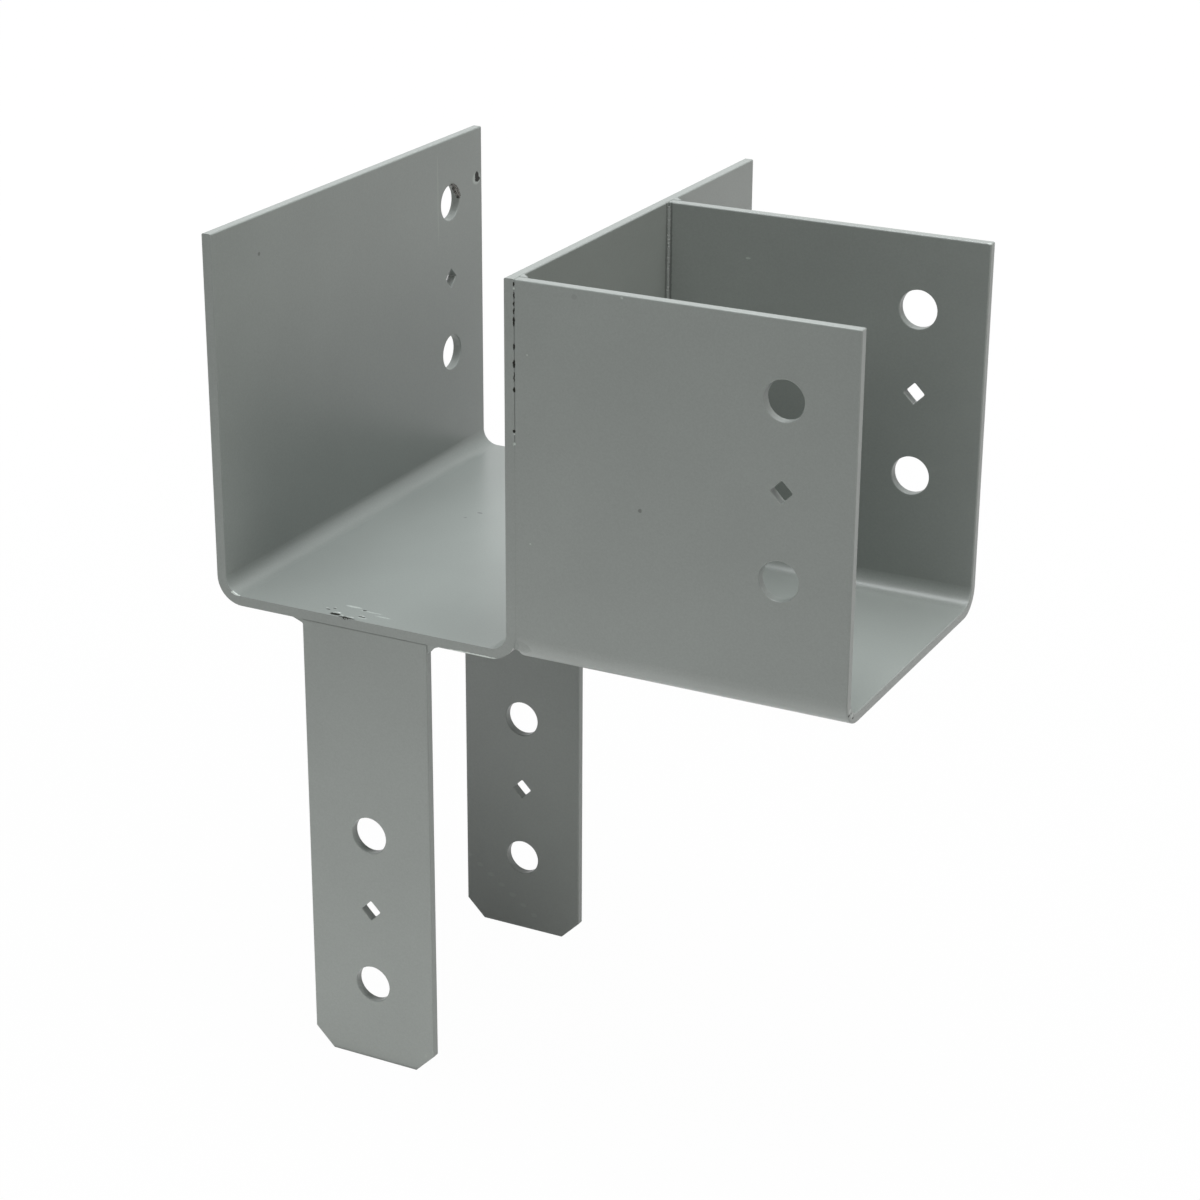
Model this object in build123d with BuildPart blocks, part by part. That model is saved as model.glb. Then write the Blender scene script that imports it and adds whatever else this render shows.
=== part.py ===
from build123d import *
import os

# Column end cap, in millimetres. A bent steel saddle holds a beam that ends over a column, a second
# saddle welded to its right wall holds a beam that meets it from the side, and two straps below take
# the column between them.
# The origin is the column's axis where it meets the underside of the main saddle. The main beam lies
# along Y and leaves at +Y, the side beam leaves at +X, and +Z is up.

# Plate
plate_thickness = 4.55
bend_inner_radius = 7.94
edge_round = 0.7

# Saddles: the beams they hold and how far they reach
main_beam_width = 142.88
side_beam_width = 139.7
wall_above_seat = 165.1
main_saddle_length = 236.5
side_saddle_length = 152.4

# Straps and the column between them
column_depth = 139.7
strap_thickness = 4.55
strap_width = 63.5
strap_drop = 215.9
strap_clip = 9.53

# Bolt holes in pairs, one above the other, with a diamond nail hole halfway
bolt_hole_diameter = 17.46
bolt_spacing = 76.2
hole_round = 0.45
nail_hole_side = 7.0
nail_hole_corner = 0.7
main_bolt_from_end = 31.75
main_bolt_from_top = 31.75
side_bolt_from_end = 31.75
side_bolt_from_top = 33.34
strap_bolt_from_tip = 39.7

# Welds
corner_weld_leg = 4.4
corner_weld_bulge = 0.52
inner_weld_leg = 1.3
inner_weld_bulge = 0.62
inner_weld_below_top = 2.0
strap_weld_leg = 5.3
strap_weld_bulge = 0.36
strap_weld_setback = 0.9
cusp_weld_foot = 6.8
cusp_weld_tip_gap = 0.12
groove_weld_reach = 8.0
groove_weld_edge = 0.7
groove_weld_toe = 1.2

# Places worked out from those sizes
bend_outer_radius = bend_inner_radius + plate_thickness
wall_top = plate_thickness + wall_above_seat
main_outer = main_beam_width / 2 + plate_thickness
front_edge = -column_depth / 2 - strap_thickness
rear_edge = front_edge + main_saddle_length
side_front_inner = front_edge + plate_thickness
side_rear_inner = side_front_inner + side_beam_width
side_rear_outer = side_rear_inner + plate_thickness
side_middle = (side_front_inner + side_rear_inner) / 2
side_end = main_outer + side_saddle_length
strap_half = strap_width / 2
strap_faces = {"front_strap": front_edge, "rear_strap": column_depth / 2}


def channel_section(plane, inner_width):
    """Section of a plate bent into a U: the inner line with round bends, thickened outwards."""
    half = inner_width / 2
    corners = [(-half, wall_top), (-half, plate_thickness), (half, plate_thickness), (half, wall_top)]
    with BuildSketch(plane) as section:
        with BuildLine():
            FilletPolyline(*corners, radius=bend_inner_radius)
            offset(amount=plate_thickness, side=Side.RIGHT)
        make_face()
    return section.sketch


def hole_pair(plane):
    """Two bolt holes in line with a diamond nail hole between them, centred on the plane's origin."""
    with BuildSketch(plane) as holes:
        with GridLocations(0, bolt_spacing, 1, 2):
            Circle(bolt_hole_diameter / 2)
        RectangleRounded(nail_hole_side, nail_hole_side, nail_hole_corner, rotation=45)
    return holes.sketch


def hole_rims(part):
    """The lines where the punched holes meet the plate's flat faces."""
    flat = part.faces().filter_by(GeomType.PLANE)
    return ShapeList(edge for face in flat for rim in face.inner_wires() for edge in rim.edges())


def fillet_bead_section(plane, leg, bulge):
    """A fillet weld's section: two legs and a curved face. bulge under 0.5 is hollow, over it round."""
    with BuildSketch(plane) as section:
        with BuildLine():
            Polyline((0, leg), (0, 0), (leg, 0))
            ThreePointArc((leg, 0), (bulge * leg, bulge * leg), (0, leg))
        make_face()
    return section.sketch


def vertical_plane(x, y, z, normal):
    """A plane square to X or Y with its own y axis upright."""
    across = (0, 1, 0) if normal[0] else (1, 0, 0)
    return Plane((x, y, z), x_dir=across, z_dir=normal)


# Main saddle: one bent plate along Y, open at the front, the rear and the top
main_hole_y = rear_edge - main_bolt_from_end
main_hole_z = wall_top - main_bolt_from_top - bolt_spacing / 2
with BuildPart() as main_saddle:
    extrude(channel_section(Plane.XZ.offset(-rear_edge), main_beam_width), amount=main_saddle_length)
    wall_face = vertical_plane(-main_outer, main_hole_y, main_hole_z, (1, 0, 0))
    extrude(hole_pair(wall_face), amount=2 * main_outer, mode=Mode.SUBTRACT)
    front_rim = main_saddle.edges().filter_by_position(Axis.Y, front_edge, front_edge)
    rear_rim = main_saddle.edges().filter_by_position(Axis.Y, rear_edge, rear_edge)
    top_rim = main_saddle.edges().filter_by(Axis.Y).group_by(Axis.Z)[-1]
    fillet(front_rim + rear_rim + top_rim, radius=edge_round)
    fillet(hole_rims(main_saddle), radius=hole_round)
main_saddle.part.label = "main_saddle"

# Side saddle: the same plate bent along X, its front plate level with the main saddle's front edge
side_hole_x = side_end - side_bolt_from_end
side_hole_z = wall_top - side_bolt_from_top - bolt_spacing / 2
with BuildPart() as side_saddle:
    end_plane = vertical_plane(main_outer, side_middle, 0, (1, 0, 0))
    extrude(channel_section(end_plane, side_beam_width), amount=side_saddle_length)
    plate_face = vertical_plane(side_hole_x, side_rear_outer, side_hole_z, (0, -1, 0))
    extrude(hole_pair(plate_face), amount=side_rear_outer - front_edge, mode=Mode.SUBTRACT)
    joint_rim = side_saddle.edges().filter_by_position(Axis.X, main_outer, main_outer)
    end_rim = side_saddle.edges().filter_by_position(Axis.X, side_end, side_end)
    top_rim = side_saddle.edges().filter_by(Axis.X).group_by(Axis.Z)[-1]
    fillet(joint_rim + end_rim + top_rim, radius=edge_round)
    fillet(hole_rims(side_saddle), radius=hole_round)
side_saddle.part.label = "side_saddle"

# Straps: flat bars hung from the main saddle's underside, with clipped lower corners
strap_hole_z = -strap_drop + strap_bolt_from_tip + bolt_spacing / 2
straps = {}
for strap_name, face_y in strap_faces.items():
    with BuildPart() as strap:
        with BuildSketch(Plane.XZ.offset(-face_y - strap_thickness)):
            with Locations((0, -strap_drop / 2)):
                Rectangle(strap_width, strap_drop)
            chamfer(vertices().group_by(Axis.Y)[0], length=strap_clip)
        extrude(amount=strap_thickness)
        strap_plane = vertical_plane(0, face_y + strap_thickness, strap_hole_z, (0, -1, 0))
        extrude(hole_pair(strap_plane), amount=strap_thickness, mode=Mode.SUBTRACT)
        faces_y = strap.faces().filter_by(Axis.Y)
        outline = ShapeList(edge for face in faces_y for edge in face.outer_wire().edges())
        fillet(outline, radius=edge_round)
        fillet(hole_rims(strap), radius=hole_round)
    strap.part.label = strap_name
    straps[strap_name] = strap.part

# Strap welds: a hollow fillet bead along the strap's rear face, turned round both side edges
strap_welds = {}
for strap_name, face_y in strap_faces.items():
    bead_start = face_y + strap_weld_setback
    bead_back = face_y + strap_thickness
    with BuildPart() as bead:
        with BuildLine(Plane.XY) as bead_path:
            FilletPolyline(
                (-strap_half, bead_start),
                (-strap_half, bead_back),
                (strap_half, bead_back),
                (strap_half, bead_start),
                radius=edge_round,
            )
        start_plane = Plane((-strap_half, bead_start, 0), x_dir=(-1, 0, 0), z_dir=(0, -1, 0))
        sweep(fillet_bead_section(start_plane, strap_weld_leg, strap_weld_bulge), path=bead_path.wires()[0])
    bead.part.label = strap_name + "_weld"
    strap_welds[strap_name] = bead.part

# Corner welds: upright beads where the side saddle's plates meet the main saddle's right wall
corner_weld_height = wall_top - bend_outer_radius
front_corner = Plane((main_outer, side_front_inner, bend_outer_radius))
with BuildPart() as front_corner_weld:
    front_bead = fillet_bead_section(front_corner, corner_weld_leg, corner_weld_bulge)
    extrude(front_bead, amount=corner_weld_height)
front_corner_weld.part.label = "front_corner_weld"

rear_corner = Plane((main_outer, side_rear_outer, bend_outer_radius))
with BuildPart() as rear_corner_weld:
    rear_bead = fillet_bead_section(rear_corner, corner_weld_leg, corner_weld_bulge)
    extrude(rear_bead, amount=corner_weld_height)
rear_corner_weld.part.label = "rear_corner_weld"

# Inner weld: the narrow ridge down the rear plate's inner corner
inner_corner = Plane(
    (main_outer, side_rear_inner, bend_outer_radius), x_dir=(0, -1, 0), z_dir=(0, 0, 1)
)
with BuildPart() as rear_inner_weld:
    inner_bead = fillet_bead_section(inner_corner, inner_weld_leg, inner_weld_bulge)
    extrude(inner_bead, amount=corner_weld_height - inner_weld_below_top)
rear_inner_weld.part.label = "rear_inner_weld"


def cusp_section(plane, outline):
    """The space between the main saddle's bend and the side saddle's end, inside an outline."""
    with BuildSketch(plane) as section:
        with BuildLine():
            Polyline(*outline, close=True)
        make_face()
        with Locations((main_outer - bend_outer_radius, bend_outer_radius)):
            Circle(bend_outer_radius, mode=Mode.SUBTRACT)
    return section.sketch


# Cusp welds: they close the narrow end of that space at the front and rear and leave the notch open.
# Their outline runs into the bend, whose circle then cuts it.
inside_bend = main_outer - bend_outer_radius / 2
bend_fall = (bend_outer_radius**2 - (bend_outer_radius - cusp_weld_tip_gap) ** 2) ** 0.5
cusp_top = bend_outer_radius - bend_fall
cusp_outline = [
    (inside_bend, cusp_weld_foot),
    (main_outer, cusp_weld_foot),
    (main_outer, cusp_top),
    (inside_bend, cusp_top),
]
cusp_depth = plate_thickness - edge_round
with BuildPart() as front_cusp_weld:
    extrude(cusp_section(Plane.XZ.offset(-side_front_inner), cusp_outline), amount=cusp_depth)
front_cusp_weld.part.label = "front_cusp_weld"

with BuildPart() as rear_cusp_weld:
    rear_plane = Plane.XZ.offset(edge_round - side_rear_outer)
    extrude(cusp_section(rear_plane, cusp_outline), amount=cusp_depth)
rear_cusp_weld.part.label = "rear_cusp_weld"

# Seat groove weld: on the underside, between the bend and the end of the side saddle's bottom plate
groove_outline = [
    (main_outer, groove_weld_edge),
    (main_outer, plate_thickness),
    (main_outer - groove_weld_reach, plate_thickness),
    (main_outer - groove_weld_reach, groove_weld_toe),
]
groove_end = side_rear_outer - bend_outer_radius
groove_length = groove_end - front_edge - bend_outer_radius
with BuildPart() as seat_groove_weld:
    extrude(cusp_section(Plane.XZ.offset(-groove_end), groove_outline), amount=groove_length)
seat_groove_weld.part.label = "seat_groove_weld"

os.makedirs("parts", exist_ok=True)
pieces = [
    main_saddle.part,
    side_saddle.part,
    straps["front_strap"],
    straps["rear_strap"],
    strap_welds["front_strap"],
    strap_welds["rear_strap"],
    front_corner_weld.part,
    rear_corner_weld.part,
    rear_inner_weld.part,
    front_cusp_weld.part,
    rear_cusp_weld.part,
    seat_groove_weld.part,
]
for piece in pieces:
    export_step(piece, f"parts/{piece.label}.step")
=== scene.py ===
import math
import random

import bmesh
import bpy
from bpy.props import FloatProperty, FloatVectorProperty, IntProperty, PointerProperty
from bpy.types import Operator, Panel, PropertyGroup
from mathutils import Matrix, Vector, noise


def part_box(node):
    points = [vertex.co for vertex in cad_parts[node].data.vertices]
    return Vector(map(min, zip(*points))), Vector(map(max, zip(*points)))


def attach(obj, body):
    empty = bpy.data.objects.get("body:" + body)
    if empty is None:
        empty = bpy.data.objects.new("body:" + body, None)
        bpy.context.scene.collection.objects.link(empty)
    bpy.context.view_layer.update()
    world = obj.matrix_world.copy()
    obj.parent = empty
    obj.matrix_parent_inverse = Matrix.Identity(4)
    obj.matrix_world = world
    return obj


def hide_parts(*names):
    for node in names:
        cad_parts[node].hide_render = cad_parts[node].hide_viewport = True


bl_info = {
    "name": "Column end cap",
    "version": (1, 0, 0),
    "blender": (4, 5, 0),
    "location": "3D View > Sidebar > Column cap",
    "description": "Paint, weld beads, wear and a plain studio for a welded column end cap",
    "category": "Object",
}

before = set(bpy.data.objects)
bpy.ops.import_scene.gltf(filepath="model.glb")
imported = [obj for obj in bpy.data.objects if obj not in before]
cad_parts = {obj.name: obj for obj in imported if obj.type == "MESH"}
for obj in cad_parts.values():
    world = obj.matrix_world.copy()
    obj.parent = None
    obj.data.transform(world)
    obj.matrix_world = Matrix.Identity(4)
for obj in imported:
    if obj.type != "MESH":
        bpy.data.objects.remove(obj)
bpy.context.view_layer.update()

MM = 0.001
BODY = "root"

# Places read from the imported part
main_low, main_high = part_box("main_saddle")
side_low, side_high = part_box("side_saddle")
strap_low, strap_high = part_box("front_strap")
rear_strap_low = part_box("rear_strap")[0]
front_corner_low, front_corner_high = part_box("front_corner_weld")
rear_corner_low, rear_corner_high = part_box("rear_corner_weld")
inner_low, inner_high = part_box("rear_inner_weld")
groove_low, groove_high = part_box("seat_groove_weld")
cusp_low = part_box("front_cusp_weld")[0]
plate = strap_high.y - strap_low.y
left_wall_inner = main_low.x + plate
right_wall_outer = side_low.x
front_face = main_low.y
bend_radius = front_corner_low.z

# The left wall's upper bolt hole, which no box gives
bolt_from_edge = 31.75 * MM
bolt_radius = 8.73 * MM

# Places in millimetres, for the marks
front = front_face / MM
rear = main_high.y / MM
top = main_high.z / MM
wall = left_wall_inner / MM
seam = right_wall_outer / MM
free_end = side_high.x / MM
seat = plate / MM
ridge_x = inner_high.x / MM
ridge_y = inner_low.y / MM

# Marks on the paint: patches, each (centre, radii) in millimetres
# Black pores down the front seam, and bright specks there that are painted glints
seam_pores = [
    ((seam, front, top - 2.2), (0.5, 0.9, 1.0)),
    ((seam, front, 162.6), (0.36, 0.9, 1.7)),
    ((seam, front, 159.2), (0.3, 0.9, 1.3)),
    ((seam, front, 156.2), (0.34, 0.9, 1.5)),
    ((seam, front, 151.6), (0.5, 0.9, 2.3)),
    ((seam, front, 141.0), (0.55, 0.9, 1.5)),
    ((seam, front, 133.7), (0.58, 0.9, 1.9)),
    ((seam, front, 128.0), (0.3, 0.9, 2.6)),
    ((seam, front, 122.6), (0.6, 0.9, 1.3)),
    ((seam, front, 104.6), (0.65, 0.9, 0.7)),
]
seam_glint_specks = [
    ((seam, front, 165.7), (0.5, 0.9, 0.6)),
    ((seam, front, 103.3), (0.45, 0.9, 0.5)),
    ((seam, front, 99.0), (0.75, 0.9, 0.75)),
]
# Bare and rubbed paint at the seat's front edge, above the weld of the strap
seat_bare = [
    ((-15.5, front + 2.2, seat), (3.2, 1.3, 1.2)),
    ((-9.0, front + 0.7, seat), (4.6, 0.8, 1.4)),
    ((-3.6, front + 4.6, seat), (2.0, 0.55, 1.0)),
    ((-21.5, front + 5.6, seat), (1.1, 0.5, 1.0)),
    ((-19.2, front + 7.6, seat), (1.0, 0.45, 1.0)),
    ((-6.2, front + 11.6, seat), (1.2, 0.5, 1.0)),
]
seat_rubbed = [
    ((-12.5, front + 13.0, seat), (4.6, 0.9, 1.0)),
    ((-2.5, front + 11.0, seat), (6.0, 0.5, 1.0)),
    ((5.0, front + 8.5, seat), (4.5, 0.5, 1.0)),
    ((-2.6, front + 3.6, seat), (2.6, 0.5, 1.0)),
]
# A small round mark on the left wall, near its rear edge: a black centre that stands for bare steel
# and shade, and a pale ring that is a painted highlight on its lit side
spot_bare_and_shade = [
    ((wall, rear - 5.2, 145.7), (1.4, 2.2, 2.5)),
    ((wall, rear - 4.6, 143.9), (1.4, 2.8, 1.5)),
]
# The pale ring is a painted highlight
spot_rim_highlight = [((wall, rear - 5.4, 144.6), (1.4, 4.4, 3.4))]
# Painted highlights: bright lines on the rounded front edge, in the left bend and on the underside
# beside the notch
painted_edge_highlights = [
    ((-67.9, front + 0.3, 5.7), (1.7, 0.6, 0.7)),
    ((-66.7, front + 0.3, 5.2), (1.5, 0.6, 0.6)),
    ((-65.4, front + 0.3, 4.8), (2.2, 0.5, 0.4)),
    ((56.0, front + 0.2, 0.1), (15.0, 0.8, 0.6)),
]
# Dark specks on the main saddle, and painted shade: a dark line on its wall in the crease beside the
# inner ridge
main_specks_and_shade = [
    ((wall, -37.98, 152.35), (1.0, 1.1, 1.0)),
    ((-22.1, 69.4, seat), (1.6, 0.8, 1.0)),
    ((-25.2, 60.6, seat), (1.0, 0.6, 1.0)),
    ((seam, ridge_y - 0.6, 92.0), (1.2, 0.9, 110.0)),
]
# A long upright scuff on the left wall
main_scuffed = [((wall, 118.5, 141.5), (1.0, 0.8, 25.0))]
# Chips in the lower front corner of the side saddle's free end
end_bare = [
    ((free_end, front + 2.6, 6.6), (0.8, 0.8, 0.6)),
    ((free_end, front + 4.8, 6.9), (0.8, 0.5, 0.5)),
    ((free_end, front + 7.1, 3.9), (0.8, 0.8, 0.5)),
]
# Rubbed spots round those chips, and light specks on the side saddle's plates
side_rubbed = [
    ((free_end, front + 3.5, 8.2), (0.9, 1.4, 1.1)),
    ((free_end, front + 5.9, 5.4), (0.9, 1.4, 1.1)),
    ((227.5, 69.9, 169.6), (1.0, 0.8, 0.8)),
    ((115.45, 69.85, 148.8), (1.4, 0.6, 0.5)),
    ((82.1, front, 138.4), (0.4, 0.8, 0.35)),
    ((83.3, front, 56.0), (0.4, 0.8, 0.35)),
    ((125.2, front, 168.4), (0.6, 0.8, 0.5)),
]
# A dark speck on the front plate, painted shade in the crease beside the ridge on the rear plate, a
# faint stain
side_specks_and_shade = [
    ((134.3, front, 79.6), (1.0, 0.8, 0.95)),
    ((ridge_x + 0.3, inner_high.y / MM, 92.0), (0.6, 1.0, 110.0)),
]
side_faint = [((103.7, front, 165.9), (1.5, 0.8, 1.2))]
# Painted shade: dark lines along both edges of the inner ridge, where it meets the plates
ridge_flank_shade = [
    ((inner_low.x / MM, ridge_y, 92.0), (0.55, 0.5, 110.0)),
    ((ridge_x, inner_high.y / MM, 92.0), (0.5, 0.55, 110.0)),
]
# Rubbed spots at the front strap's lower right corner
strap_rubbed = [
    ((strap_high.x / MM, front, -203.6), (0.6, 0.8, 1.2)),
    ((27.7, front, -206.7), (0.9, 0.8, 0.9)),
]
# Painted light: a faint pale line that runs down across the rear strap, along a diagonal edge of its
# shade
strap_painted_light_line = [
    ((-30.5 + 6.2 * i, rear_strap_low.y / MM, -181.5 - 4.3 * i), (1.9, 0.8, 1.2)) for i in range(7)
]

# How a kind of mark changes the paint: the tint of its grey, and how much of it shows
# Rubbed paint, and the painted glints on the seam specks, share one tint
RUBBED_AND_GLINT = (1.55, 1.0)
# Stains and the painted shade beside the inner ridge share one tint
STAIN_AND_SHADE = (0.4, 0.75)


def linear(code):
    """An sRGB hex colour as the linear values that Blender works in."""
    parts = [int(code[i : i + 2], 16) / 255 for i in (1, 3, 5)]
    return tuple(p / 12.92 if p <= 0.04045 else ((p + 0.055) / 1.055) ** 2.4 for p in parts)


# Settings that a user would change
class PaintSettings(PropertyGroup):
    """The shop paint and the bare steel under it."""

    grey: FloatVectorProperty(
        name="Paint grey",
        description="Colour of the grey shop paint",
        subtype="COLOR",
        size=3,
        min=0,
        max=1,
        default=linear("#8A8F8B"),
    )
    scale_black: FloatVectorProperty(
        name="Mill scale",
        description="Colour of the bare hot rolled steel where the paint is off",
        subtype="COLOR",
        size=3,
        min=0,
        max=1,
        default=linear("#23231F"),
    )
    roughness: FloatProperty(
        name="Paint roughness",
        description="How far the satin paint spreads a reflection",
        min=0,
        max=1,
        default=0.33,
    )
    peel_width: FloatProperty(
        name="Orange peel width",
        description="Distance from one ripple of the sprayed paint to the next",
        unit="LENGTH",
        precision=5,
        default=2.2 * MM,
    )
    nib_spacing: FloatProperty(
        name="Dust nib spacing",
        description="Size of the cells that hold one dust nib each at most",
        unit="LENGTH",
        precision=5,
        default=5.0 * MM,
    )


class WeldSettings(PropertyGroup):
    """The weld beads that are laid between the plates."""

    ripple_pitch: FloatProperty(
        name="Ripple pitch",
        description="Distance from one ripple of a bead to the next",
        unit="LENGTH",
        precision=5,
        default=1.7 * MM,
    )
    ripple_depth: FloatProperty(
        name="Ripple depth",
        description="How much smaller a bead is between two ripples, as a share of its size",
        min=0,
        max=0.3,
        default=0.06,
    )
    crescent: FloatProperty(
        name="Crescent",
        description="How far the middle of a ripple lags behind its ends",
        unit="LENGTH",
        precision=5,
        default=1.3 * MM,
    )
    spatter_drops: IntProperty(
        name="Spatter drops",
        description="Number of small steel drops left beside the beads",
        min=0,
        default=46,
    )


class StudioSettings(PropertyGroup):
    """The camera, the lamps and the floor."""

    azimuth: FloatProperty(
        name="Camera azimuth",
        description="How far the camera stands round to the right of the open front",
        unit="ROTATION",
        default=math.radians(26.95),
    )
    elevation: FloatProperty(
        name="Camera elevation",
        description="How far the camera looks down",
        unit="ROTATION",
        default=math.radians(22.03),
    )
    roll: FloatProperty(
        name="Camera roll",
        description="Tilt of the picture about its centre",
        unit="ROTATION",
        default=math.radians(0.365),
    )
    distance: FloatProperty(
        name="Camera distance",
        description="From the camera to the point at the centre of the picture",
        unit="LENGTH",
        default=1.3415,
    )
    lens: FloatProperty(
        name="Lens",
        description="Focal length on a 36 mm sensor, in millimetres",
        min=1,
        default=86.72,
    )
    aim: FloatVectorProperty(
        name="Aim",
        description="Point at the centre of the picture",
        subtype="TRANSLATION",
        unit="LENGTH",
        size=3,
        default=(58.66 * MM, 38.85 * MM, -14.46 * MM),
    )
    top_power: FloatProperty(
        name="Overhead lamp",
        description="Power of the large soft lamp above, in watts",
        min=0,
        default=33.4,
    )
    right_power: FloatProperty(
        name="Right lamp",
        description="Power of the soft lamp that shines in from the right, in watts",
        min=0,
        default=4.8,
    )
    front_power: FloatProperty(
        name="Front lamp",
        description="Power of the soft lamp in front of the open end, in watts",
        min=0,
        default=5.4,
    )
    low_power: FloatProperty(
        name="Floor bounce",
        description="Power of the light that comes up from the floor in front, in watts",
        min=0,
        default=0.64,
    )
    sky: FloatProperty(
        name="Room light",
        description="Strength of the even light from all round",
        min=0,
        default=0.12,
    )
    floor_white: FloatVectorProperty(
        name="Floor",
        description="Colour of the floor",
        subtype="COLOR",
        size=3,
        min=0,
        max=1,
        default=linear("#C8C8C8"),
    )


# Materials
def add(tree, kind, settings=None, links=None):
    """Adds a node, sets its options and socket values, and links what feeds it."""
    made = tree.nodes.new(kind)
    for name, value in (settings or {}).items():
        if isinstance(name, int) or name in made.inputs:
            made.inputs[name].default_value = value
        else:
            setattr(made, name, value)
    for name, source in (links or {}).items():
        tree.links.new(source, made.inputs[name])
    return made


def new_material(name):
    """An empty node material, its tree and its output node."""
    material = bpy.data.materials.new(name)
    material.use_nodes = True
    tree = material.node_tree
    tree.nodes.clear()
    return material, tree, add(tree, "ShaderNodeOutputMaterial")


def millimetres(tree):
    """Object coordinates in millimetres, so that a pattern's scale is one over its real size."""
    place = add(tree, "ShaderNodeTexCoord").outputs["Object"]
    return add(
        tree, "ShaderNodeVectorMath", {"operation": "SCALE", "Scale": 1 / MM}, {0: place}
    ).outputs[0]


def patches_mask(tree, place, patches, ragged):
    """White inside any of the patches. A grain 1.4 mm wide moves their edges by up to half of ragged,
    in millimetres."""
    grain = add(
        tree, "ShaderNodeTexNoise", {"Scale": 1 / 1.4, "Detail": 4.0, "Roughness": 0.7}, {0: place}
    ).outputs["Color"]
    centred = add(
        tree, "ShaderNodeVectorMath", {"operation": "SUBTRACT", 1: (0.5, 0.5, 0.5)}, {0: grain}
    ).outputs[0]
    moved = add(
        tree, "ShaderNodeVectorMath",
        {"operation": "MULTIPLY_ADD", 1: (ragged, ragged, ragged)}, {0: centred, 2: place},
    ).outputs[0]
    mask = None
    for centre, radii in patches:
        offset = add(
            tree, "ShaderNodeVectorMath", {"operation": "SUBTRACT", 1: centre}, {0: moved}
        ).outputs[0]
        scaled = add(
            tree, "ShaderNodeVectorMath", {"operation": "DIVIDE", 1: radii}, {0: offset}
        ).outputs[0]
        reach = add(
            tree, "ShaderNodeVectorMath", {"operation": "LENGTH"}, {0: scaled}
        ).outputs["Value"]
        inside = add(
            tree, "ShaderNodeMapRange",
            {"interpolation_type": "SMOOTHSTEP", "From Min": 1.05, "From Max": 0.75}, {"Value": reach},
        ).outputs[0]
        mask = inside if mask is None else add(
            tree, "ShaderNodeMath", {"operation": "MAXIMUM"}, {0: mask, 1: inside}
        ).outputs[0]
    return mask


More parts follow.
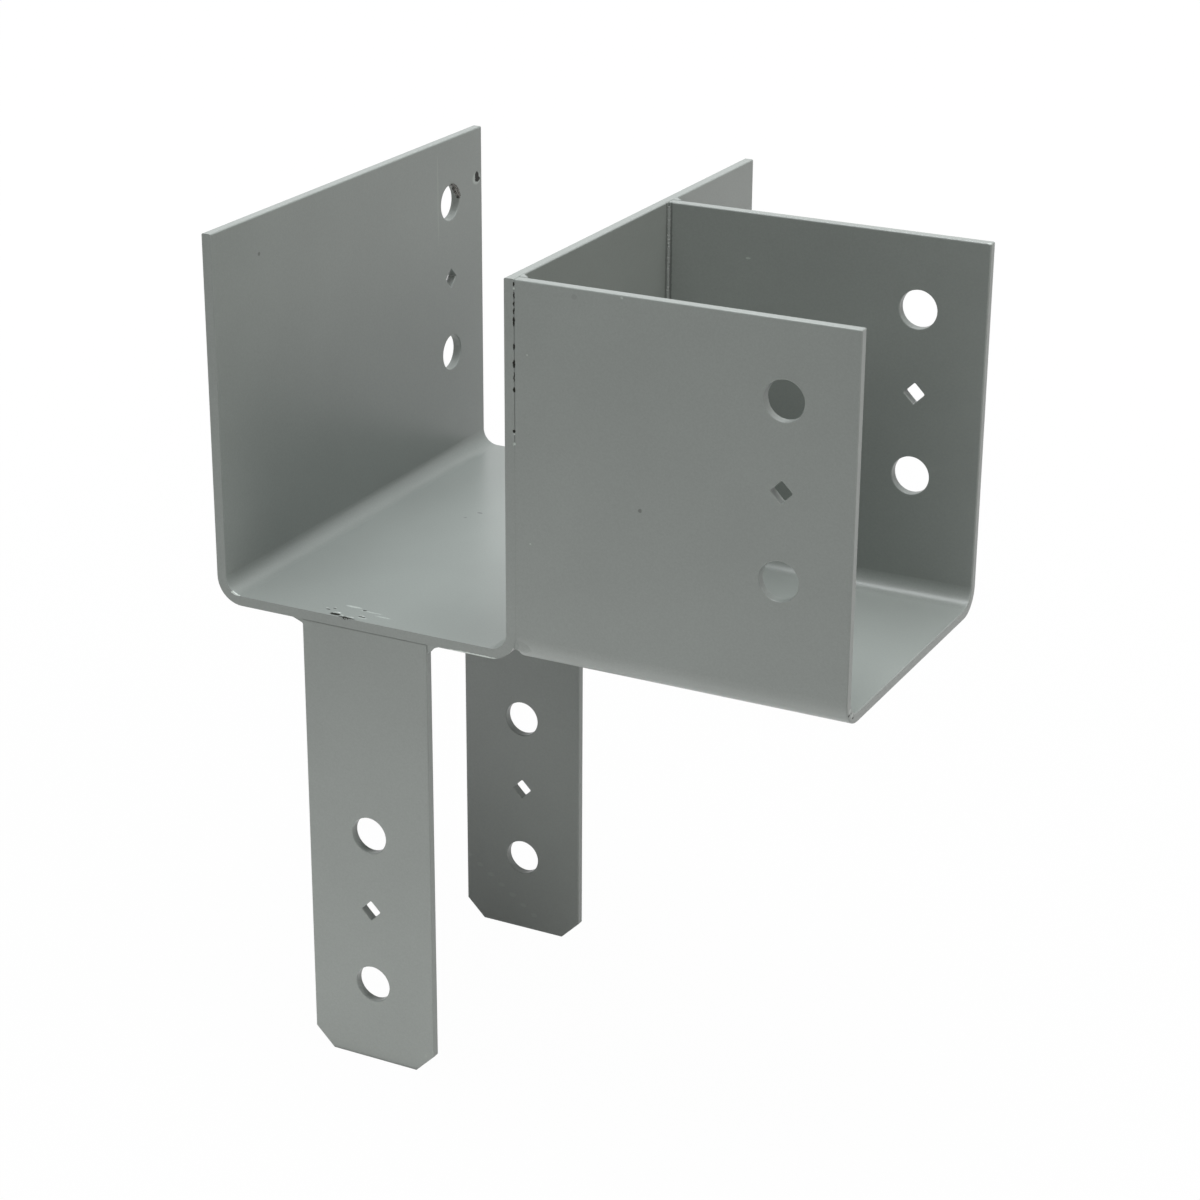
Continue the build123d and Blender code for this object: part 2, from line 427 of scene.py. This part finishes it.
def painted_steel(name, paint, bare=(), marks=(), tint=1.0):
    """Satin grey shop paint sprayed on hot rolled plate: a faint orange peel, sparse dust nibs and a
    slow drift of tone. marks are (patches, tint, strength). Bare patches show black mill scale."""
    material, tree, output = new_material(name)
    place = millimetres(tree)
    # The tone drifts over about 55 mm. Flecks are finer than a pixel and drawn 0.9 mm wide to show.
    drift = add(
        tree, "ShaderNodeTexNoise", {"Scale": 1 / 55.0, "Detail": 3.0, "Roughness": 0.5}, {0: place}
    ).outputs["Fac"]
    grain = add(
        tree, "ShaderNodeTexNoise", {"Scale": 1 / 0.9, "Detail": 3.0, "Roughness": 0.7}, {0: place}
    ).outputs["Fac"]
    grey = Vector(paint.grey) * tint
    tone = add(
        tree, "ShaderNodeMix",
        {"data_type": "RGBA", 6: (*(grey * 0.93), 1), 7: (*(grey * 1.07), 1)}, {0: drift},
    ).outputs[2]
    fleck = add(
        tree, "ShaderNodeMapRange",
        {"From Min": 0.3, "From Max": 0.7, "To Min": 0.955, "To Max": 1.045}, {"Value": grain},
    ).outputs[0]
    colour = add(
        tree, "ShaderNodeVectorMath", {"operation": "SCALE"}, {0: tone, "Scale": fleck}
    ).outputs[0]

    # Dust nibs, in 28 of 100 cells
    cells = add(
        tree, "ShaderNodeTexVoronoi", {"Scale": MM / paint.nib_spacing, "Randomness": 1.0}, {0: place}
    )
    chosen = add(
        tree, "ShaderNodeSeparateColor", {}, {0: cells.outputs["Color"]}
    ).outputs["Red"]
    has_nib = add(
        tree, "ShaderNodeMath", {"operation": "GREATER_THAN", 1: 0.72}, {0: chosen}
    ).outputs[0]
    # Nibs are about 0.4 mm across on the real paint, and a little wider here so that they show
    dome = add(
        tree, "ShaderNodeMapRange",
        {"interpolation_type": "SMOOTHSTEP", "From Min": 0.075, "From Max": 0.02},
        {"Value": cells.outputs["Distance"]},
    ).outputs[0]
    nib = add(tree, "ShaderNodeMath", {"operation": "MULTIPLY"}, {0: dome, 1: has_nib}).outputs[0]
    peel = add(
        tree, "ShaderNodeTexNoise",
        {"Scale": MM / paint.peel_width, "Detail": 2.0, "Roughness": 0.45}, {0: place},
    ).outputs["Fac"]
    height = add(
        tree, "ShaderNodeMath", {"operation": "MULTIPLY_ADD", 1: 6.0}, {0: nib, 2: peel}
    ).outputs[0]
    bumped = add(
        tree, "ShaderNodeBump", {"Strength": 0.35, "Distance": 0.02 * MM}, {"Height": height}
    ).outputs[0]

    shader = add(
        tree, "ShaderNodeBsdfPrincipled",
        {"Roughness": paint.roughness, "Specular IOR Level": 0.5}, {"Normal": bumped},
    )
    for patches, shade, strength in marks:
        mask = patches_mask(tree, place, patches, 1.2)
        part = add(
            tree, "ShaderNodeMath", {"operation": "MULTIPLY", 1: strength}, {0: mask}
        ).outputs[0]
        colour = add(
            tree, "ShaderNodeMix", {"data_type": "RGBA", 7: (*(grey * shade), 1)}, {0: part, 6: colour}
        ).outputs[2]
    if bare:
        off = patches_mask(tree, place, bare, 1.6)
        colour = add(
            tree, "ShaderNodeMix",
            {"data_type": "RGBA", 7: (*paint.scale_black, 1)}, {0: off, 6: colour},
        ).outputs[2]
        step = add(
            tree, "ShaderNodeBump", {"Strength": 0.6, "Distance": 0.08 * MM, "invert": True},
            {"Height": off, "Normal": bumped},
        ).outputs[0]
        tree.links.new(step, shader.inputs["Normal"])
        # A bare patch is a rough pit, which sends back less of the light than the paint does
        gloss = add(
            tree, "ShaderNodeMath", {"operation": "MULTIPLY_ADD", 1: -0.4, 2: 0.5}, {0: off}
        ).outputs[0]
        tree.links.new(gloss, shader.inputs["Specular IOR Level"])
    tree.links.new(colour, shader.inputs["Base Color"])
    tree.links.new(shader.outputs[0], output.inputs["Surface"])
    return material


def bare_steel(name, paint):
    """Torn and burnt steel at a burr: dark, still a little shiny, with a coarse grain."""
    material, tree, output = new_material(name)
    place = millimetres(tree)
    grain = add(
        tree, "ShaderNodeTexNoise", {"Scale": 1 / 0.5, "Detail": 4.0, "Roughness": 0.7}, {0: place}
    ).outputs["Fac"]
    torn = add(
        tree, "ShaderNodeMapRange", {"From Min": 0.48, "From Max": 0.6}, {"Value": grain}
    ).outputs[0]
    tone = add(
        tree, "ShaderNodeMix",
        {"data_type": "RGBA", 6: (*paint.scale_black, 1), 7: (*linear("#8F8D88"), 1)}, {0: torn},
    ).outputs[2]
    bumped = add(
        tree, "ShaderNodeBump", {"Strength": 0.8, "Distance": 0.1 * MM}, {"Height": grain}
    ).outputs[0]
    shader = add(
        tree, "ShaderNodeBsdfPrincipled", {"Metallic": 0.85, "Roughness": 0.38},
        {"Base Color": tone, "Normal": bumped},
    )
    tree.links.new(shader.outputs[0], output.inputs["Surface"])
    return material


def seen_white(tree):
    """One on the rays that have to find a white background: from the camera, a reflection or glass."""
    rays = add(tree, "ShaderNodeLightPath")
    seen = add(
        tree, "ShaderNodeMath", {"operation": "MAXIMUM"},
        {0: rays.outputs["Is Camera Ray"], 1: rays.outputs["Is Glossy Ray"]},
    ).outputs[0]
    return add(
        tree, "ShaderNodeMath", {"operation": "MAXIMUM"},
        {0: seen, 1: rays.outputs["Is Transmission Ray"]},
    ).outputs[0]


def shown_white(name, colour, near_glow, near, far):
    """A pale matt surface that looks white to the camera and in reflections, and keeps the shadow.
    Its own glow grows from near_glow at the distance near to full white at the distance far."""
    material, tree, output = new_material(name)
    matt = add(tree, "ShaderNodeBsdfDiffuse", {"Color": (*colour, 1)}).outputs[0]
    dim = tuple(c * (1 - near_glow) for c in colour)
    faint = add(tree, "ShaderNodeBsdfDiffuse", {"Color": (*dim, 1)}).outputs[0]
    place = add(tree, "ShaderNodeTexCoord").outputs["Object"]
    reach = add(tree, "ShaderNodeVectorMath", {"operation": "LENGTH"}, {0: place}).outputs["Value"]
    strength = add(
        tree, "ShaderNodeMapRange",
        {"From Min": near, "From Max": far, "To Min": near_glow, "To Max": 1.0}, {"Value": reach},
    ).outputs[0]
    glow = add(tree, "ShaderNodeEmission", {"Color": (1, 1, 1, 1)}, {"Strength": strength}).outputs[0]
    lit = add(tree, "ShaderNodeAddShader", {}, {0: faint, 1: glow}).outputs[0]
    both = add(tree, "ShaderNodeMixShader", {}, {0: seen_white(tree), 1: matt, 2: lit}).outputs[0]
    tree.links.new(both, output.inputs["Surface"])
    return material


# Pieces
def repaint(node, material):
    """Gives a CAD node's mesh its finish."""
    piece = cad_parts[node]
    piece.data.materials.clear()
    piece.data.materials.append(material)


def show(mesh, name, material, replaced=()):
    """Makes a finished bmesh a piece that rides on the cap's body."""
    bmesh.ops.recalc_face_normals(mesh, faces=mesh.faces)
    data = bpy.data.meshes.new(name)
    mesh.to_mesh(data)
    mesh.free()
    data.shade_smooth()
    data.set_sharp_from_angle(angle=math.radians(55))
    data.materials.append(material)
    piece = bpy.data.objects.new(name, data)
    bpy.context.scene.collection.objects.link(piece)
    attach(piece, BODY)
    if replaced:
        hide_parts(*replaced)
    return piece


def bead_section(mesh, root, leg_a, leg_b, bulge, lag, count=9):
    """One face across a fillet weld: its root, and a curve between the ends of its legs, hollow with
    a bulge under 0.5 and round over it. The lag pushes the curve's middle back along the bead, as a
    weld pool freezes in crescents."""
    curve = []
    for i in range(count + 1):
        t = i / count
        rise = 4 * t * (1 - t)
        point = root + leg_a * (1 - t) + leg_b * t
        point += (leg_a + leg_b) * (bulge - 0.5) * rise + lag * rise
        curve.append(mesh.verts.new(point))
    return mesh.faces.new([mesh.verts.new(root), *curve])


def ripple(travelled, weld):
    """The bead's size at a distance along it: full on a ripple, and smaller between two."""
    uneven = noise.noise(Vector((travelled / (6 * MM), 3.1, 0.4)))
    phase = math.pi * (travelled / weld.ripple_pitch + 0.5 * uneven)
    return 1 - weld.ripple_depth * (1 - abs(math.sin(phase)) ** 0.6) * (1 + 0.5 * uneven)


def lay_bead(mesh, face, path, weld):
    """Carries a bead's section along the line of its root, turning it at the corners."""
    here = path[0].copy()
    heading = (path[1] - path[0]).normalized()
    size = 1.0
    travelled = 0.0
    # Five rings to a ripple, and one for each 12 degrees of a turn
    step = weld.ripple_pitch / 5
    for there in path[1:]:
        towards = (there - here).normalized()
        turn = heading.rotation_difference(towards)
        turns = math.ceil(turn.angle / math.radians(12))
        moves = [Matrix.Rotation(turn.angle / max(turns, 1), 4, turn.axis)] * turns
        count = math.ceil((there - here).length / step)
        moves += [Matrix.Translation((there - here) / count)] * count
        for move in moves:
            travelled += step
            grown = ripple(travelled, weld) / size
            size *= grown
            made = bmesh.ops.extrude_face_region(mesh, geom=[face])["geom"]
            face = next(g for g in made if isinstance(g, bmesh.types.BMFace))
            shift = Matrix.Translation(move.translation)
            turned = move.to_3x3().to_4x4()
            about = Matrix.Translation(here)
            whole = shift @ about @ turned @ Matrix.Scale(grown, 4) @ about.inverted()
            bmesh.ops.transform(mesh, matrix=whole, verts=list(face.verts))
            here = here + move.translation
        heading = towards
    bmesh.ops.remove_doubles(mesh, verts=mesh.verts, dist=0.005 * MM)


def trim(mesh, point, outwards):
    """Cuts a bead off flat at a plane and closes the cut."""
    everything = [*mesh.verts, *mesh.edges, *mesh.faces]
    bmesh.ops.bisect_plane(
        mesh, geom=everything, dist=0.001 * MM, plane_co=point, plane_no=outwards, clear_outer=True
    )
    open_edges = [e for e in mesh.edges if e.is_boundary]
    bmesh.ops.holes_fill(mesh, edges=open_edges)


def upright_bead(name, low, high, inner_side, weld, material, node):
    """A bead that runs up a corner. inner_side says on which sides of its box the plates stand."""
    root_x = low.x if inner_side[0] < 0 else high.x
    root_y = low.y if inner_side[1] < 0 else high.y
    across = Vector((-inner_side[0] * (high.x - low.x), 0, 0))
    along = Vector((0, -inner_side[1] * (high.y - low.y), 0))
    mesh = bmesh.new()
    spare = Vector((0, 0, 2 * weld.crescent))
    start = Vector((root_x, root_y, low.z))
    end = Vector((root_x, root_y, high.z))
    lag = Vector((0, 0, -weld.crescent))
    face = bead_section(mesh, start - spare, across, along, bulge=0.56, lag=lag)
    lay_bead(mesh, face, [start - spare, end + spare], weld)
    trim(mesh, end, Vector((0, 0, 1)))
    trim(mesh, start, Vector((0, 0, -1)))
    return show(mesh, name, material, [node])


def strap_bead(side, weld, material):
    """The bead along a strap's rear face and round both its edges, spread further along the seat."""
    low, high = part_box(f"{side}_strap_weld")
    leg = high.z - low.z
    spread, fall = 1.45 * leg, 0.9 * leg
    left, right = low.x + leg, high.x - leg
    back = high.y - leg
    path = [
        Vector((left, low.y, high.z)),
        Vector((left, back, high.z)),
        Vector((right, back, high.z)),
        Vector((right, low.y, high.z)),
    ]
    mesh = bmesh.new()
    face = bead_section(
        mesh, path[0], Vector((-spread, 0, 0)), Vector((0, 0, -fall)), bulge=0.4,
        lag=Vector((0, -0.5 * weld.crescent, 0)),
    )
    lay_bead(mesh, face, path, weld)
    trim(mesh, path[0], Vector((0, -1, 0)))
    # The bead gets lower and more hollow towards its left end
    for vert in mesh.verts:
        out = math.hypot(max(left - vert.co.x, 0), max(vert.co.y - back, 0))
        across = min(max((vert.co.x - left) / (right - left), 0), 1)
        hollow = 0.33 + 0.24 * math.sin(math.pi * min(out / spread, 1))
        vert.co.z += (high.z - vert.co.z) * (1 - across) * hollow
    return show(mesh, f"{side}_strap_bead", material, [f"{side}_strap_weld"])


def groove_bead(weld, material):
    """The bead between the bend and the end of the side saddle's bottom plate, on the underside."""
    over = groove_low.x - (right_wall_outer - bend_radius)
    toe_z = bend_radius - math.sqrt(bend_radius**2 - over**2)
    root = Vector((groove_high.x - 0.1 * MM, groove_low.y, groove_high.z - 0.9 * MM))
    end = Vector((root.x, groove_high.y, root.z))
    edge = Vector((groove_high.x - root.x, 0, groove_low.z - root.z))
    toe = Vector((groove_low.x - root.x, 0, toe_z - root.z))
    spare = Vector((0, 2 * weld.crescent, 0))
    mesh = bmesh.new()
    lag = Vector((0, -weld.crescent, 0))
    face = bead_section(mesh, root - spare, edge, toe, bulge=0.54, lag=lag)
    lay_bead(mesh, face, [root - spare, end + spare], weld)
    trim(mesh, end, Vector((0, 1, 0)))
    trim(mesh, root, Vector((0, -1, 0)))
    return show(mesh, "seat_groove_bead", material, ["seat_groove_weld"])


def seam_fill(name, depth, foot, head, weld, material):
    """Weld metal that closes the front seam from foot to head, its root at a depth behind the face."""
    root = Vector((right_wall_outer, front_face + depth, foot))
    left = Vector((-0.75 * MM, -0.55 * MM, 0))
    right = Vector((0.75 * MM, -0.55 * MM, 0))
    mesh = bmesh.new()
    face = bead_section(mesh, root, left, right, bulge=0.78, lag=Vector())
    lay_bead(mesh, face, [root, Vector((root.x, root.y, head))], weld)
    return show(mesh, name, material)


def torn_lip(material):
    """Steel torn up by the punch round the rear of the left wall's upper bolt hole, up to its top."""
    centre = Vector((left_wall_inner, main_high.y - bolt_from_edge, main_high.z - bolt_from_edge))
    mesh = bmesh.new()
    rows = []
    steps = 18
    for i in range(steps + 1):
        t = i / steps
        angle = math.radians(2 + 80 * t)
        away = Vector((0, math.cos(angle), math.sin(angle)))
        rough = noise.noise(Vector((9 * t, 0.3, 1.9)))
        inner = bolt_radius - (0.2 + 1.5 * math.sin(math.pi * t) * (1 + 1.3 * rough)) * MM
        outer = bolt_radius + (0.5 + 0.7 * abs(rough)) * MM
        proud = Vector((0.4 * (1 + rough) * MM, 0, 0))
        rows.append([mesh.verts.new(centre + away * r + proud) for r in (inner, outer)])
    faces = [mesh.faces.new([a[0], a[1], b[1], b[0]]) for a, b in zip(rows, rows[1:])]
    made = bmesh.ops.extrude_face_region(mesh, geom=faces)["geom"]
    # The copy of the faces moves into the hole and makes the lip 1.6 mm thick
    deep = [v for v in made if isinstance(v, bmesh.types.BMVert)]
    bmesh.ops.translate(mesh, verts=deep, vec=(-1.6 * MM, 0, 0))
    if any(e.is_boundary for e in mesh.edges):
        raise RuntimeError("the torn lip is not closed")
    return show(mesh, "torn_hole_lip", material)


def lifted_paint(material):
    """Paint that weld heat from the strap has curled up at the seat's front edge."""
    # Each flake: its middle and how far behind the front edge it starts, its length and width, its
    # heading in degrees and how high its edge has curled, in millimetres
    flakes = [
        (-15.6, 3.2, 3.6, 0.9, 8, 0.5),
        (-12.4, 1.6, 2.2, 0.8, -20, 0.45),
        (-8.2, 1.4, 4.4, 0.6, -6, 0.4),
        (-4.0, 5.0, 2.8, 0.7, -12, 0.45),
        (-22.0, 6.0, 1.5, 0.5, 25, 0.3),
        (-19.4, 8.0, 1.4, 0.5, -15, 0.3),
    ]
    mesh = bmesh.new()
    for x, y, length, width, heading, curl in flakes:
        sheet = bmesh.ops.create_grid(mesh, x_segments=10, y_segments=4, size=0.5)["verts"]
        for vert in sheet:
            u, v = vert.co.x, vert.co.y + 0.5
            wavy = 0.12 * math.sin(9 * u + x)
            lift = 0.02 + curl * v * v * math.cos(0.9 * math.pi * u)
            vert.co = Vector((u * length, v * width + wavy, lift)) * MM
        stand = Matrix.Translation((x * MM, front_face + y * MM, plate))
        turn = Matrix.Rotation(math.radians(heading), 4, "Z")
        bmesh.ops.transform(mesh, matrix=stand @ turn, verts=sheet)
    bmesh.ops.solidify(mesh, geom=list(mesh.faces), thickness=0.12 * MM)
    return show(mesh, "lifted_paint", material)


def spatter(material, drops):
    """Small drops of steel thrown off the beads onto the plates beside them."""
    foot, head = 18 * MM, 160 * MM
    beside = inner_high.x + MM
    across = Vector((1, 0, 0))
    along = Vector((0, 1, 0))
    # Each upright strip: the edge of a bead that it follows, and which way its drops flew
    edges = [
        (beside, inner_high.y, across),
        (right_wall_outer, inner_low.y, -along),
        (right_wall_outer, front_corner_high.y, along),
        (right_wall_outer, rear_corner_high.y, along),
    ]
    strips = [(Vector((x, y, foot)), Vector((x, y, head)), flight) for x, y, flight in edges]
    for side in ("front", "rear"):
        low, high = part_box(f"{side}_strap_weld")
        strips.append((Vector((low.x, high.y, high.z)), Vector((high.x, high.y, high.z)), along))
    dice = random.Random(7)
    mesh = bmesh.new()
    for i in range(drops):
        start, end, flight = strips[i % len(strips)]
        place = start.lerp(end, dice.random()) + flight * (1 + 26 * dice.random() ** 2) * MM
        size = (0.18 + 0.3 * dice.random() ** 2) * MM
        bmesh.ops.create_icosphere(
            mesh, subdivisions=2, radius=size, matrix=Matrix.Translation(place)
        )
    return show(mesh, "weld_spatter", material)


def seam_drops(material):
    """Drops caught in the front seam, one at each speck, tinted near white as a painted glint."""
    mesh = bmesh.new()
    for (speck, _), size in zip(seam_glint_specks, (0.45, 0.45, 0.72)):
        place = Matrix.Translation((right_wall_outer, front_face + size * MM, speck[2] * MM))
        bmesh.ops.create_icosphere(mesh, subdivisions=3, radius=size * MM, matrix=place)
    return show(mesh, "front_seam_drops", material)


def notch_fill(material):
    """Weld metal that rounds off the side saddle's corner above the notch and fills the seam there."""
    # Each lump: its middle from the seam, the front face and the notch's tip, and its radii, in
    # millimetres
    lumps = [
        (Vector((3.0, 1.85, 3.2)), Vector((5.0, 1.65, 5.2))),
        (Vector((-0.95, 0.95, 1.0)), Vector((0.95, 0.75, 1.5))),
        (Vector((0.6, 0.95, 1.6)), Vector((0.8, 0.8, 2.4))),
    ]
    tip = Vector((right_wall_outer, front_face, cusp_low.z))
    mesh = bmesh.new()
    for middle, radii in lumps:
        for vert in bmesh.ops.create_icosphere(mesh, subdivisions=4, radius=1)["verts"]:
            uneven = 1 + 0.05 * noise.noise(vert.co * 2.5)
            vert.co = tip + (middle + vert.co * radii * uneven) * MM
    return show(mesh, "notch_fill", material)


class CAP_OT_paint_plates(Operator):
    """Paints the two saddles and the two straps, with their chips, rubbed spots and stains, and
    painted highlights, glints and shade
    """

    bl_idname = "column_cap.paint_plates"
    bl_label = "Paint the plates"

    def execute(self, context):
        paint = context.scene.cap_paint
        # The stain marks also hold the painted shade beside the inner ridge
        main_marks = [
            # The seam specks among the rubbed marks are painted glints
            (seat_rubbed + spot_rim_highlight + seam_glint_specks, *RUBBED_AND_GLINT), (main_specks_and_shade, *STAIN_AND_SHADE),
            # The edge highlights are painted into the colour
            (main_scuffed, 1.3, 0.4), (painted_edge_highlights, 2.7, 0.9),
        ]
        side_marks = [
            # The seam specks among the side saddle's rubbed marks are painted glints
            (side_rubbed + seam_glint_specks, *RUBBED_AND_GLINT), (side_specks_and_shade, *STAIN_AND_SHADE), (side_faint, 0.6, 0.3)
        ]
        finishes = {
            "main_saddle": painted_steel(
                "Shop grey on main saddle", paint, seat_bare + spot_bare_and_shade + seam_pores, main_marks
            ),
            "side_saddle": painted_steel(
                "Shop grey on side saddle", paint, end_bare + seam_pores, side_marks
            ),
            "front_strap": painted_steel(
                "Shop grey on front strap", paint, (), [(strap_rubbed, 1.15, 0.6)]
            ),
            "rear_strap": painted_steel(
                # The pale line on the rear strap is painted light
                "Shop grey on rear strap", paint, (), [(strap_painted_light_line, 1.35, 0.35)]
            ),
        }
        for node, finish in finishes.items():
            repaint(node, finish)
        return {"FINISHED"}


class CAP_OT_lay_beads(Operator):
    """Lays the rippled weld beads in the corners, round the straps and under the seat"""

    bl_idname = "column_cap.lay_beads"
    bl_label = "Lay the weld beads"

    def execute(self, context):
        paint = context.scene.cap_paint
        weld = context.scene.cap_weld
        finish = painted_steel("Shop grey on weld beads", paint)
        upright_bead(
            "front_corner_bead", front_corner_low, front_corner_high, (-1, -1), weld, finish,
            "front_corner_weld",
        )
        upright_bead(
            "rear_corner_bead", rear_corner_low, rear_corner_high, (-1, -1), weld, finish,
            "rear_corner_weld",
        )
        upright_bead(
            "rear_inner_bead", inner_low, inner_high, (-1, 1), weld,
            # The bead's dark flanks are painted shade
            painted_steel("Shop grey on inner bead", paint, (), [(ridge_flank_shade, 0.4, 0.8)], 0.9),
            "rear_inner_weld",
        )
        for side in ("front", "rear"):
            strap_bead(side, weld, finish)
        groove_bead(weld, finish)
        # The seam is a shallow dark line above its lowest speck, and almost level below it
        # The specks in the seam fill are painted glints
        seam_marks = [(seam_glint_specks, 2.0, 1.0)]
        dark = painted_steel("Shop grey, upper seam", paint, seam_pores, seam_marks, 0.78)
        level = painted_steel("Shop grey, lower seam", paint, seam_pores, seam_marks, 0.97)
        change = 98 * MM
        seam_fill("upper_seam_fill", 1.1 * MM, change, main_high.z - 0.8 * MM, weld, dark)
        seam_fill("lower_seam_fill", 0.86 * MM, cusp_low.z - 0.3 * MM, change, weld, level)
        notch_fill(finish)
        for node in ("front_cusp_weld", "rear_cusp_weld"):
            repaint(node, finish)
        return {"FINISHED"}


class CAP_OT_add_wear(Operator):
    """Adds the torn lip in a bolt hole, the lifted paint and the weld spatter"""

    bl_idname = "column_cap.add_wear"
    bl_label = "Add the wear"

    def execute(self, context):
        paint = context.scene.cap_paint
        weld = context.scene.cap_weld
        torn_lip(bare_steel("Torn bare steel", paint))
        lifted_paint(painted_steel("Lifted paint", paint, tint=1.3))
        spatter(painted_steel("Shop grey on spatter", paint), weld.spatter_drops)
        # The drops' near white tint is a painted glint
        seam_drops(painted_steel("Painted glints on seam drops", paint, tint=2.6))
        return {"FINISHED"}


class CAP_OT_set_studio(Operator):
    """Sets the camera at the photograph's angle, the soft lamps and the plain white floor"""

    bl_idname = "column_cap.set_studio"
    bl_label = "Set the studio"

    def execute(self, context):
        scene = context.scene
        studio = scene.cap_studio
        level = Matrix.Rotation(studio.azimuth, 4, "Z") @ Matrix.Rotation(
            math.pi / 2 - studio.elevation, 4, "X"
        )
        turned = level @ Matrix.Rotation(studio.roll, 4, "Z")
        back = level.to_3x3() @ Vector((0, 0, 1))
        lens = bpy.data.cameras.new("Camera")
        lens.sensor_width = 36
        lens.lens = studio.lens
        lens.clip_start = 0.01
        camera = bpy.data.objects.new("Camera", lens)
        camera.matrix_world = Matrix.Translation(Vector(studio.aim) + back * studio.distance) @ turned
        scene.collection.objects.link(camera)
        scene.camera = camera

        # Each soft lamp: its power, its width, its colour, where it stands and what it faces. The
        # light from the floor is square, so that it ends in a straight line before the straps
        cool, plain, warm = (0.975, 1.0, 1.03), (1.0, 1.0, 0.985), (1.03, 1.0, 0.955)
        bounce_width = 0.55
        bounce = Vector((0, front_face - bounce_width / 2 - MM, strap_low.z + 0.4 * MM))
        lamps = {
            "Overhead": (studio.top_power, 1.3, cool, Vector((0.02, 0.1, 1.6)), Vector()),
            "Right": (studio.right_power, 0.8, warm, Vector((1.25, -0.05, 0.8)), Vector()),
            "Front": (studio.front_power, 0.8, plain, Vector((0.33, -1.45, 0.95)), Vector()),
            "Floor bounce": (
                studio.low_power, bounce_width, plain, bounce, bounce + Vector((0, 0, 1))
            ),
        }
        for name, (power, width, colour, stand, faces) in lamps.items():
            lamp = bpy.data.lights.new(name, "AREA")
            lamp.shape = "SQUARE" if name == "Floor bounce" else "DISK"
            lamp.size = width
            lamp.energy = power
            lamp.color = colour
            soft = bpy.data.objects.new(name, lamp)
            turn = (stand - faces).to_track_quat("Z", "Y").to_matrix().to_4x4()
            soft.matrix_world = Matrix.Translation(stand) @ turn
            soft.visible_camera = False
            scene.collection.objects.link(soft)

        world = bpy.data.worlds.new("Studio")
        world.use_nodes = True
        tree = world.node_tree
        tree.nodes.clear()
        strength = add(
            tree, "ShaderNodeMapRange", {"To Min": studio.sky, "To Max": 1.0},
            {"Value": seen_white(tree)},
        ).outputs[0]
        room = add(
            tree, "ShaderNodeBackground", {"Color": (1, 1, 1, 1)}, {"Strength": strength}
        ).outputs[0]
        out = add(tree, "ShaderNodeOutputWorld", {}, {"Surface": room})
        out.is_active_output = True
        scene.world = world

        mesh = bmesh.new()
        level_with_feet = Matrix.Translation((0, 0, strap_low.z))
        bmesh.ops.create_circle(
            mesh, cap_ends=True, segments=96, radius=6.0, matrix=level_with_feet
        )
        data = bpy.data.meshes.new("Floor")
        mesh.to_mesh(data)
        mesh.free()
        # Close to the cap the glow leaves room for a faint shadow
        white = shown_white(
            "White studio floor", studio.floor_white, near_glow=0.985, near=0.4, far=1.4
        )
        data.materials.append(white)
        floor = bpy.data.objects.new("Floor", data)
        scene.collection.objects.link(floor)

        scene.view_settings.view_transform = "Standard"
        return {"FINISHED"}


class CAP_PT_sidebar(Panel):
    """Lists the steps that dress the cap"""

    bl_idname = "CAP_PT_sidebar"
    bl_label = "Column end cap"
    bl_space_type = "VIEW_3D"
    bl_region_type = "UI"
    bl_category = "Column cap"

    def draw(self, context):
        for settings in ("cap_paint", "cap_weld", "cap_studio"):
            box = self.layout.box()
            group = getattr(context.scene, settings)
            for name in group.__annotations__:
                box.prop(group, name)
        for step in STEPS:
            self.layout.operator(step.bl_idname)


STEPS = (CAP_OT_set_studio, CAP_OT_paint_plates, CAP_OT_lay_beads, CAP_OT_add_wear)
CLASSES = (PaintSettings, WeldSettings, StudioSettings, *STEPS, CAP_PT_sidebar)


def register():
    for kind in CLASSES:
        bpy.utils.register_class(kind)
    bpy.types.Scene.cap_paint = PointerProperty(type=PaintSettings)
    bpy.types.Scene.cap_weld = PointerProperty(type=WeldSettings)
    bpy.types.Scene.cap_studio = PointerProperty(type=StudioSettings)


def unregister():
    del bpy.types.Scene.cap_studio
    del bpy.types.Scene.cap_weld
    del bpy.types.Scene.cap_paint
    for kind in reversed(CLASSES):
        bpy.utils.unregister_class(kind)


def main():
    register()
    bpy.ops.column_cap.set_studio()
    bpy.ops.column_cap.paint_plates()
    bpy.ops.column_cap.lay_beads()
    bpy.ops.column_cap.add_wear()


if __name__ == "__main__":
    main()
